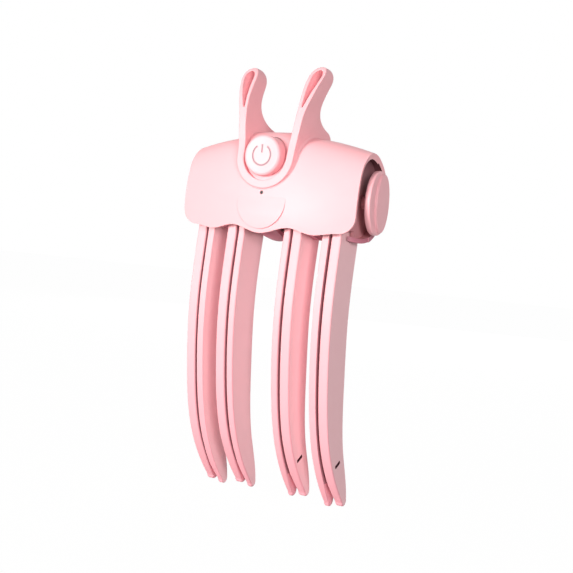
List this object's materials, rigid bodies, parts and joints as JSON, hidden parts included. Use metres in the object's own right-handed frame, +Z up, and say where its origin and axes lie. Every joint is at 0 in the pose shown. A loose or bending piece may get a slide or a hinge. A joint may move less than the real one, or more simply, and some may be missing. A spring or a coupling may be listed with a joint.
{
  "type": "heated root volumizing clip",
  "caption": "Cordless heated hair clip: a bowed pink barrel with two finger ears round a power button, end push knobs, and pairs of long curved blades that grip and heat hair roots.",
  "frame": {"origin": "middle of the flat back of the barrel, in the plane of symmetry", "axes": "+Z up towards the ears, -Y out of the front with the button, +X to the right seen from the front"},
  "size_m": [0.065, 0.0283, 0.1323],
  "materials": {
    "pink_shell": "satin moulded",
    "dark_pink": "satin moulded",
    "white_nylon": "plain moulded",
    "steel": "bright",
    "aluminium_plate": "coated",
    "heater_film": "amber film",
    "green_board": "solder mask",
    "black_plastic": "moulded",
    "led_epoxy": "clear",
    "brass_contact": "plain",
    "cell_wrap": "shrink wrap",
    "foam": "closed-cell foam"
  },
  "bodies": {
    "housing": {"front_shell": "pink_shell", "rear_shell": "pink_shell", "ear_band": "pink_shell", "chassis": "white_nylon", "front_guide_rod": "steel", "rear_guide_rod": "steel", "left_end_plate": "dark_pink", "right_end_plate": "dark_pink", "left_return_springs": "steel", "right_return_springs": "steel", "switch_body": "black_plastic", "circuit_board": "green_board", "light_guide": "white_nylon", "light_flex": "heater_film", "status_light": "led_epoxy", "power_board": "green_board", "charging_socket": "steel", "heater_contacts": "brass_contact", "battery_cell": "cell_wrap", "battery_pad": "foam", "blade_screws": "steel", "chassis_screws": "steel", "shell_screws": "steel", "heated_blade_1": "pink_shell", "heated_blade_2": "pink_shell", "heated_blade_3": "pink_shell", "heated_blade_4": "pink_shell", "heater_film_1": "heater_film", "heater_film_2": "heater_film", "heater_film_3": "heater_film", "heater_film_4": "heater_film", "contact_plate_1": "aluminium_plate", "contact_plate_2": "aluminium_plate", "contact_plate_3": "aluminium_plate", "contact_plate_4": "aluminium_plate"},
    "left_slide": {"left_carriage": "white_nylon", "left_end_knob": "pink_shell", "gripping_blade_1": "pink_shell", "gripping_blade_2": "pink_shell"},
    "right_slide": {"right_carriage": "white_nylon", "right_end_knob": "pink_shell", "gripping_blade_3": "pink_shell", "gripping_blade_4": "pink_shell"},
    "button": {"power_button": "pink_shell", "switch_plunger": "black_plastic"}
  },
  "joints": [
    {"name": "left_knob_press", "type": "slide", "parent": "housing", "child": "left_slide", "axis": [1, 0, 0], "range_m": [0, 0.003], "stiffness_N_per_m": 1000, "springref_m": -0.003, "deforming": ["left_return_springs"]},
    {"name": "right_knob_press", "type": "slide", "parent": "housing", "child": "right_slide", "axis": [-1, 0, 0], "range_m": [0, 0.003], "stiffness_N_per_m": 1000, "springref_m": -0.003, "deforming": ["right_return_springs"]},
    {"name": "button_press", "type": "slide", "parent": "housing", "child": "button", "axis": [0, 1, 0], "range_m": [0, 0.0006], "stiffness_N_per_m": 2500, "springref_m": -0.0003}
  ]
}
